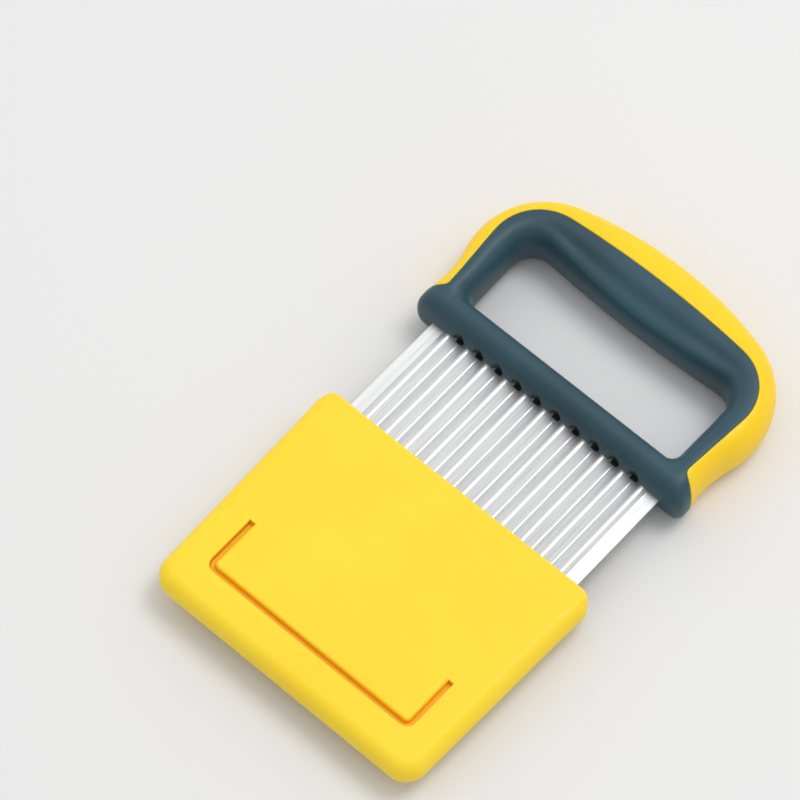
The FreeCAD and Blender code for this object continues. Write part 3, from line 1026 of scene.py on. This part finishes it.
    def parting(self) -> np.ndarray:
        """Work out the right half of the parting line, from outside the spine's tip to the crown.

        It comes in along the spine's foot, turns up round its corner, leans straight up the leg
        and goes over the grip in two arcs. It ends past the middle, so that the middle chord
        crosses it.

        Returns:
            The points of the line.
        """
        half, top = self.leg_half - self.spine_width, self.height - self.spine_depth
        shoulder, radius = shoulder_arc(half, top, self.spine_rise, self.spine_crown)
        foot = np.array([self.leg_half - self.foot_width + self.foot_radius,
                         self.bar_depth + self.foot_rise])
        fall = math.atan(self.tip_fall)
        gap = np.linalg.norm(shoulder - foot)
        lean = (math.atan2(shoulder[1] - foot[1], foot[0] - shoulder[0])
                - math.acos((radius + self.foot_radius) / gap))
        outward = np.array([math.cos(lean), -math.sin(lean)])
        start = foot - self.foot_radius * np.array([math.sin(fall), math.cos(fall)])
        crown = np.array([0.0, top - self.spine_crown])
        turned = toward(crown, shoulder, self.spine_crown)
        tip = start + self.leg_width * np.array([1.0, -self.tip_fall])
        return np.vstack([tip[None], arc(foot, start, foot - self.foot_radius * outward),
                          arc(shoulder, shoulder + radius * outward, turned),
                          arc(crown, turned, np.array([0.0, top])), [[-1.0, top]]])

    def chords(self, share: np.ndarray) -> tuple[np.ndarray, np.ndarray]:
        """Pair the two outlines' points, at shares of the way from the bar to the crown.

        Between anchors both points go on evenly. A moving average, with each side's run carried on
        past the middle, makes their pace smooth.

        Args:
            share: The shares.

        Returns:
            The chords' outer and inner ends.
        """
        even = np.linspace(0.0, 1.0, self.fine_steps + 1)
        window = np.hanning(self.fine_steps // self.smoothing + 1)
        window /= window.sum()
        margin = len(window) // 2
        pairs = []
        (outer, outer_marks), (inner, inner_marks) = self.outline(), self.opening()
        pace = (outer_marks + inner_marks) / (outer_marks[-1] + inner_marks[-1])
        for line, marks in ((outer, outer_marks), (inner, inner_marks)):
            along = np.interp(even, pace, marks)
            padded = np.concatenate([-along[margin:0:-1], along,
                                     2 * along[-1] - along[-2:-margin - 2:-1]])
            smooth = np.convolve(padded, window, mode="valid")
            at = np.interp(share, even, smooth)
            lengths = run_lengths(line)
            pairs.append(np.stack([np.interp(at, lengths, line[:, i]) for i in (0, 1)], axis=-1))
        return pairs[0], pairs[1]

    def parting_reach(self, outer: np.ndarray, inner: np.ndarray) -> np.ndarray:
        """Find where chords cross the parting line, from -1 to 1, or 1 where they don't.

        A chord and a piece of the line meet where both sides of start + t * way agree, which two
        cross products give.

        Args:
            outer: The chords' outer ends.
            inner: Their inner ends.

        Returns:
            The reach of each chord's crossing.
        """
        line = self.parting()
        way, step = outer - inner, np.diff(line, axis=0)
        gap = line[None, :-1] - inner[:, None]
        area = cross(way[:, None], step[None])
        area = np.where(np.abs(area) < TINY, TINY, area)
        along = cross(gap, step[None]) / area
        aside = cross(gap, way[:, None]) / area
        meets = (aside >= 0) & (aside <= 1) & (along >= 0) & (along <= 1)
        return 2 * np.where(meets, along, 1.0).min(axis=1) - 1

    def section(self, outer: np.ndarray, inner: np.ndarray, angle: np.ndarray) -> np.ndarray:
        """Work out the surface at angles round the sections, with its seam and scallops.

        Args:
            outer: The chords' outer ends.
            inner: Their inner ends.
            angle: Angles from the outside over the top, one row per chord.

        Returns:
            The surface's points, one row per chord.
        """
        x, z = superellipse_round(angle, self.fullness)
        half = (outer - inner) / 2
        width = np.linalg.norm(half, axis=1)[:, None]
        way = half / width
        slope_x = np.sign(x) * np.abs(x) ** (self.fullness - 1) / width
        slope_z = np.sign(z) * np.abs(z) ** (self.fullness - 1) / self.half_thickness
        steep = np.hypot(slope_x, slope_z)
        plan = ((outer + inner) / 2)[:, None] + half[:, None] * x[..., None]
        sink = rounding_drop(distance_to(plan, self.parting(), self.seam_radius),
                             self.seam_radius)
        rise = self.palm_form(x, plan[..., 0], outer[:, 1:]) - sink
        plan = plan + way[:, None] * (rise * slope_x / steep)[..., None]
        height = z * self.half_thickness + rise * slope_z / steep
        plan[..., 1] = self.scalloped(plan[..., 0], plan[..., 1], height)
        return np.concatenate([plan, height[..., None]], axis=-1)

    def palm_form(self, reach: np.ndarray, across: np.ndarray, up: np.ndarray) -> np.ndarray:
        """Find how far the grip stands out for the fingers: a soft ridge with a hollow above it.

        Each is a bell curve exp(-((v - c) / w)^2) over the section's reach v. The ridge's place c
        comes nearer to the middle with the square of the way across, and both fade towards the
        corners and down the legs.

        Args:
            reach: The reach along the sections.
            across: How far across each point lies.
            up: How far up each section's outer end lies.

        Returns:
            The rise at each point.
        """
        ridge = self.ridge_reach + self.ridge_bow * (across / self.opening_half()) ** 2
        hollow = ridge + self.hollow_gap
        form = (self.ridge_rise * np.exp(-((reach - ridge) / self.ridge_spread) ** 2)
                - self.hollow_depth * np.exp(-((reach - hollow) / self.hollow_spread) ** 2))
        start = self.height - self.arch_rise
        end = 1.0 - np.abs(across) / (self.palm_reach * self.opening_half())
        return (form * smooth_step((up - start) / (self.palm_fade * self.arch_rise))
                * smooth_step(end / self.palm_edge))

    def opening_half(self) -> float:
        """Find half of the finger opening's width."""
        return self.leg_half - self.leg_width

    def hollow_square(self, x: np.ndarray, z: np.ndarray) -> np.ndarray:
        """Find (dx/r)^2 + (z/h)^2 about the nearest hollow's middle: less than 1 is inside it.

        The hollows lie over the blade's dips above its plane and under its crests below it.

        Args:
            x: How far across each point lies.
            z: How far up.

        Returns:
            The squares, or 1 past the last hollow.
        """
        pitch, gaps = self.blade.pitch, self.blade.gaps
        above = z >= 0
        shift = np.where(above == (gaps % 2 == 0), pitch / 2, 0.0)
        from_middle = (x - shift + pitch / 2) % pitch - pitch / 2
        square = (from_middle / self.scallop_radius) ** 2 + (z / self.scallop_height) ** 2
        return np.where(np.abs(x) < (gaps - above + 1) * pitch / 2, square, 1.0)

    def scalloped(self, x: np.ndarray, y: np.ndarray, z: np.ndarray) -> np.ndarray:
        """Push the bar's front back to domed hollows over and under the blade's dips.

        A hollow's wall is y = d sqrt(1 - s), where s is its square, and the larger of it and the
        front is eased: (a + b + sqrt((a - b)^2 + e^2)) / 2.

        Args:
            x: How far across each point lies.
            y: How far in from the bar line.
            z: How far up.

        Returns:
            The new distances in from the bar line.
        """
        square = self.hollow_square(x, z)
        wall = self.scallop_depth * np.sqrt(np.maximum(1 - square, 0.0))
        eased = (wall + y + np.sqrt((wall - y) ** 2 + self.scallop_ease ** 2)) / 2
        pushed = y + np.maximum(eased - y, 0.0) * smooth_step((1 - square) / self.scallop_rim)
        return np.where((square < 1) & (y < self.bar_depth / 2), pushed, y)

    def mark_hollow_shade(self, mesh: Mesh, origin: Vector) -> None:
        """Write the painted shade attribute, which is 1 inside the bar's hollows and 0 elsewhere.

        Args:
            mesh: The grip's mesh.
            origin: The bar line and blade plane in the frame, in metres.
        """
        x, y, z = points_of(mesh, origin)
        # Painted shade: the hollows are darkened to stand in for the shade in them.
        mark_painted_shade(mesh, smooth_step((1 - self.hollow_square(x, z)) / self.scallop_rim)
             * (y < self.mark_reach * self.scallop_depth))

    def build(self, origin: Vector, skin: NodeTree) -> list[Object]:
        """Make the grip and the spine."""
        return [self.grip(origin, skin), self.spine(origin, skin)]

    def grip(self, origin: Vector, skin: NodeTree) -> Object:
        """Carry the sections round the opening from the seam's top to its underside.

        Args:
            origin: The bar line and blade plane in the frame, in metres.
            skin: The moulded skin group.

        Returns:
            The grip.
        """
        tip, along = self.spine_shares()
        bar = np.linspace(0.0, self.bar_share, self.bar_rows, endpoint=False)
        corner = np.linspace(self.bar_share, tip, self.corner_rows, endpoint=False)
        share = np.concatenate([bar, corner, along])
        outer, inner = self.chords(share)
        start = self.seam_angle(self.parting_reach(outer, inner))[:, None]
        turn = np.concatenate([self.grip_turns, np.linspace(*self.grip_spread)])
        past = np.linspace(self.past_seam, math.pi, self.under_steps)[1:]
        spread = np.hstack([start + (self.past_seam - start) * turn,
                            np.broadcast_to(past, (len(start), len(past)))])
        angle = np.concatenate([spread, 2 * math.pi - spread[:, -2::-1]], axis=1)
        points = self.section(outer, inner, angle)
        loops = mirrored_round(self.with_wall(points))
        shell = Shell()
        shell.grid(np.concatenate([loops, loops[:, :1]], axis=1), wrap=True)
        mesh = shell.mesh("teal_loop", origin)
        self.mark_hollow_shade(mesh, origin)
        return make_piece(mesh, "teal_loop", "cutter", Cast.GRIP,
                          self.grip_finish.material(skin), "soft_grip")

    def spine(self, origin: Vector, skin: NodeTree) -> Object:
        """Carry what lies outside the seam from one tip over the crown to the other.

        Args:
            origin: The bar line and blade plane in the frame, in metres.
            skin: The moulded skin group.

        Returns:
            The spine.
        """
        outer, inner = self.chords(self.spine_shares()[1])
        start = self.seam_angle(self.parting_reach(outer, inner))
        start[0] = 0.0
        turn = np.concatenate([self.spine_turns, np.linspace(*self.spine_spread)])
        spread = start[:, None] * (1 - turn)
        angle = np.concatenate([spread, -spread[:, -2::-1]], axis=1)
        points = self.section(outer, inner, angle)
        loops = self.with_wall(points)
        loops = np.concatenate([loops, loops[-2::-1] * [-1, 1, 1]])
        shell = Shell()
        shell.grid(np.concatenate([loops, loops[:, :1]], axis=1))
        return make_piece(shell.mesh("yellow_spine", origin), "yellow_spine", "cutter", Cast.SPINE,
                          self.spine_finish.material(skin), "handle_core")

    def spine_shares(self) -> tuple[float, np.ndarray]:
        """Place the rows that the grip and the spine share.

        Returns:
            The share at which the spine's tip lies, and the shares from there to the crown.
        """
        fine = np.linspace(0.0, 1.0, 4 * self.fine_steps + 1)
        tip = fine[np.argmax(self.parting_reach(*self.chords(fine)) < 1) - 1]
        pace = np.linspace(0.0, 1.0, self.spine_rows) ** self.spine_pace
        return tip, tip + (1 - tip) * pace

    def seam_angle(self, reach: np.ndarray) -> np.ndarray:
        """Find the angle round a section at which its reach has a value: cos^-1 by the norm."""
        up = np.maximum(1 - np.abs(reach) ** self.fullness, 0.0) ** (1 / self.fullness)
        return np.arctan2(up, reach)

    def with_wall(self, points: np.ndarray) -> np.ndarray:
        """Close sections by a straight wall from their last point to their first.

        Args:
            points: The sections, one row each.

        Returns:
            The sections with the wall's points at their ends.
        """
        share = np.linspace(0.0, 1.0, self.wall_steps + 2)[1:-1, None]
        wall = points[:, -1:] + (points[:, :1] - points[:, -1:]) * share
        return np.concatenate([points, wall], axis=1)


def arc(center: np.ndarray, start: np.ndarray, end: np.ndarray, pace: float = 0.3) -> np.ndarray:
    """Follow the shorter arc round a centre between two points.

    Args:
        center: The centre.
        start: Where it starts.
        end: Where it ends.
        pace: The length of a step.

    Returns:
        The points of the arc.
    """
    first, last = start - center, end - center
    begin = math.atan2(first[1], first[0])
    sweep = (math.atan2(last[1], last[0]) - begin + math.pi) % (2 * math.pi) - math.pi
    radius = math.hypot(*first)
    angle = begin + sweep * np.linspace(0.0, 1.0, max(int(abs(sweep) * radius / pace), 2) + 1)
    return center + radius * np.stack([np.cos(angle), np.sin(angle)], axis=-1)


def toward(center: np.ndarray, point: np.ndarray, distance: float) -> np.ndarray:
    """Find the point at a distance from a centre, on the way to another point."""
    return center + (point - center) * distance / np.linalg.norm(point - center)


def meeting(first: np.ndarray, first_reach: float, second: np.ndarray,
            second_reach: float) -> np.ndarray:
    """Find the point at two distances from two others, to the right of the way between them.

    Args:
        first: One point.
        first_reach: The distance from it.
        second: The other point.
        second_reach: The distance from that one.

    Returns:
        The point.
    """
    gap = np.linalg.norm(second - first)
    along = (first_reach ** 2 - second_reach ** 2 + gap ** 2) / (2 * gap)
    off = math.sqrt(first_reach ** 2 - along ** 2)
    way = (second - first) / gap
    return first + way * along + np.array([way[1], -way[0]]) * off


def shoulder_arc(half: float, top: float, rise: float, crown: float) -> tuple[np.ndarray, float]:
    """Find the centre and radius of the arc from an arch's upright side to its crown's arc."""
    radius = (2 * crown * rise - rise ** 2 - half ** 2) / (2 * (crown - half))
    return np.array([half - radius, top - rise]), radius


def run_lengths(line: np.ndarray) -> np.ndarray:
    """Measure how far along a line each of its points lies."""
    return np.concatenate([[0.0], np.cumsum(np.linalg.norm(np.diff(line, axis=0), axis=1))])


def anchors_on(line: np.ndarray, marks: list[tuple[float, float] | np.ndarray]) -> np.ndarray:
    """Find how far along a line its points nearest to some marks lie.

    Args:
        line: The line's points.
        marks: The marks.

    Returns:
        The distances along the line, with those of its two ends.
    """
    lengths = run_lengths(line)
    dense = np.linspace(0.0, lengths[-1], ANCHOR_STEPS)
    points = np.stack([np.interp(dense, lengths, line[:, i]) for i in (0, 1)], axis=-1)
    apart = np.linalg.norm(points[:, None] - np.array(marks)[None], axis=-1)
    return np.concatenate([[0.0], dense[apart.argmin(axis=0)], [lengths[-1]]])


def cross(first: np.ndarray, second: np.ndarray) -> np.ndarray:
    """Take the cross product of plane vectors."""
    return first[..., 0] * second[..., 1] - first[..., 1] * second[..., 0]


def distance_to(plan: np.ndarray, line: np.ndarray, reach: float) -> np.ndarray:
    """Measure how near points lie to a line, in plan, up to a reach.

    The distance to a run of the line is |p - a - t (b - a)|, with t the dot product's share kept
    between 0 and 1. The line stands for its reflection too: points are folded to its side first.

    Args:
        plan: The points, in any layout.
        line: The points of its right half.
        reach: The most that it gives.

    Returns:
        The distances, laid out as the points are.
    """
    folded = np.stack([np.abs(plan[..., 0]), plan[..., 1]], axis=-1).reshape(-1, 2)
    start, way = line[:-1], np.diff(line, axis=0)
    squares = np.maximum((way ** 2).sum(axis=-1), TINY)
    found = np.full(len(folded), reach)
    for block in np.array_split(np.arange(len(folded)), max(len(folded) // BLOCK, 1)):
        gap = folded[block][:, None] - start[None]
        share = np.clip((gap * way[None]).sum(axis=-1) / squares, 0.0, 1.0)
        apart = np.linalg.norm(gap - share[..., None] * way[None], axis=-1)
        found[block] = np.minimum(apart.min(axis=1), reach)
    return found.reshape(plan.shape[:-1])


def superellipse_round(angle: np.ndarray, fullness: float) -> tuple[np.ndarray, np.ndarray]:
    """Find the points of |x|^n + |z|^n = 1 that lie at angles from its middle.

    Args:
        angle: The angles.
        fullness: The power n.

    Returns:
        Their x and z.
    """
    across, up = np.cos(angle), np.sin(angle)
    norm = (np.abs(across) ** fullness + np.abs(up) ** fullness) ** (1 / fullness)
    return across / norm, up / norm


def mirrored_round(loops: np.ndarray) -> np.ndarray:
    """Close half a ring of loops with its reflection, each shared loop kept once."""
    return np.concatenate([loops, loops[-2:0:-1] * [-1, 1, 1]])


def coons(top: np.ndarray, right: np.ndarray, bottom: np.ndarray, left: np.ndarray) -> np.ndarray:
    """Fill four curves that run round a face, by the Coons patch between them.

    A point is the mix of the two curves across, plus the mix of the two along, less the mix of the
    four corners.

    Args:
        top: The first curve.
        right: The curve that starts where the first ends.
        bottom: The third, which runs back.
        left: The last, which ends where the first starts.

    Returns:
        A grid of points, rows along the right curve and columns along the top one.
    """
    bottom, left = bottom[::-1], left[::-1]
    u = np.linspace(0.0, 1.0, len(top))[None, :, None]
    v = np.linspace(0.0, 1.0, len(right))[:, None, None]
    across = (1 - v) * top[None] + v * bottom[None]
    along = (1 - u) * left[:, None] + u * right[:, None]
    corners = ((1 - v) * ((1 - u) * top[0] + u * top[-1])
               + v * ((1 - u) * bottom[0] + u * bottom[-1]))
    return across + along - corners


def box_shell(x: Pair, y: Pair, z: Pair) -> Shell:
    """Make a closed box: a square loop carried along Y, with its two ends.

    Args:
        x: Its span across.
        y: Its span along Y.
        z: Its span up.

    Returns:
        The box.
    """
    loop = np.array([[x[0], z[0]], [x[1], z[0]], [x[1], z[1]], [x[0], z[1]]])
    ends = [np.column_stack([loop[:, 0], np.full(4, at), loop[:, 1]]) for at in y]
    shell = Shell()
    shell.tube(np.stack(ends, axis=1))
    return shell


@dataclass
class Studio:
    """The pale floor, the soft lamp and world, and the camera at the photograph's angle."""

    azimuth: float = 41.635
    elevation: float = 62.856
    aim: Triple = (-0.04493, 0.0020, 0.0125)
    distance: float = 2.3052
    lens: float = 270.0
    sensor: float = 36.0
    far: float = 100.0
    floor_half: float = 6.0
    floor_tone: Colour = srgb(226, 226, 226)
    floor_roughness: float = 0.8
    key_place: Triple = (0.42, 0.98, 2.3)
    key_side: float = 1.1
    key_power: float = 21.0
    bright_side: Triple = (-0.50, 0.80, 0.33)
    world_strength: Pair = (0.54, 1.00)

    def build(self) -> None:
        """Make the floor, the world, the lamp and the camera."""
        self.make_floor()
        self.make_world()
        self.make_key_lamp()
        self.make_camera()
        bpy.context.scene.view_settings.view_transform = "Standard"

    def make_floor(self) -> None:
        """Lay the floor in the plane that the cutter rests on."""
        half = self.floor_half
        mesh = bpy.data.meshes.new("floor")
        mesh.from_pydata([(-half, -half, 0), (half, -half, 0), (half, half, 0), (-half, half, 0)],
                         [], [(0, 1, 2, 3)])
        material, shader = new_material("floor_pale")
        feed(material.node_tree, shader, {"Base Color": self.floor_tone,
                                          "Roughness": self.floor_roughness})
        mesh.materials.append(material)
        add_object("floor", mesh)

    def make_world(self) -> None:
        """Light the scene from all round, more strongly from the side that the key lamp is on.

        The strength is a linear share of the dot product of the direction and that side.
        """
        world = bpy.data.worlds.new("studio")
        world.use_nodes = True
        tree = world.node_tree
        way = tree.nodes.new("ShaderNodeTexCoord").outputs["Generated"]
        side = Vector(self.bright_side).normalized()
        facing = add_node(tree, "VectorMath", {0: way, 1: side}, operation="DOT_PRODUCT")
        strength = map_range(tree, facing.outputs["Value"], (-1.0, 1.0), self.world_strength)
        feed(tree, tree.nodes["Background"], {"Color": srgb(255, 255, 255), "Strength": strength})
        bpy.context.scene.world = world

    def make_key_lamp(self) -> None:
        """Hang the square key lamp, which looks at the cutter."""
        light = bpy.data.lights.new("key_lamp", "AREA")
        light.size = self.key_side
        light.energy = self.key_power
        lamp = add_object("key_lamp", light)
        lamp.location = self.key_place
        lamp.rotation_euler = (-Vector(self.key_place)).to_track_quat("-Z", "Y").to_euler()

    def make_camera(self) -> None:
        """Set the camera where the photograph was taken from, upright and without shift."""
        turn, rise = math.radians(self.azimuth), math.radians(self.elevation)
        back = Vector((math.sin(turn) * math.cos(rise), -math.cos(turn) * math.cos(rise),
                       math.sin(rise)))
        right = Vector((math.cos(turn), math.sin(turn), 0.0))
        up = back.cross(right)
        data = bpy.data.cameras.new("camera")
        data.lens = self.lens
        data.sensor_width = self.sensor
        data.clip_end = self.far
        camera = add_object("camera", data)
        turned = Matrix((right, up, back)).transposed().to_4x4()
        camera.matrix_world = Matrix.Translation(Vector(self.aim) + back * self.distance) @ turned
        bpy.context.scene.camera = camera


def main() -> None:
    """Load the frame, dress each sub-assembly and build the studio."""
    logging.basicConfig(level=logging.INFO, format="%(name)s: %(message)s")
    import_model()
    skin, lines = moulded_skin_group(), brushed_lines_group()
    blade = WavyBlade(BLADE_STEEL)
    low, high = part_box("blade")
    origin = Vector((0.0, low[1] + blade.free_length * MM, (low[2] + high[2]) / 2))
    blade.build(origin, lines)
    BladeGuard(GUARD_YELLOW, blade).build(origin, skin)
    LoopHandle(SPINE_YELLOW, GRIP_TEAL, blade).build(origin, skin)
    Studio().build()


if __name__ == "__main__":
    main()
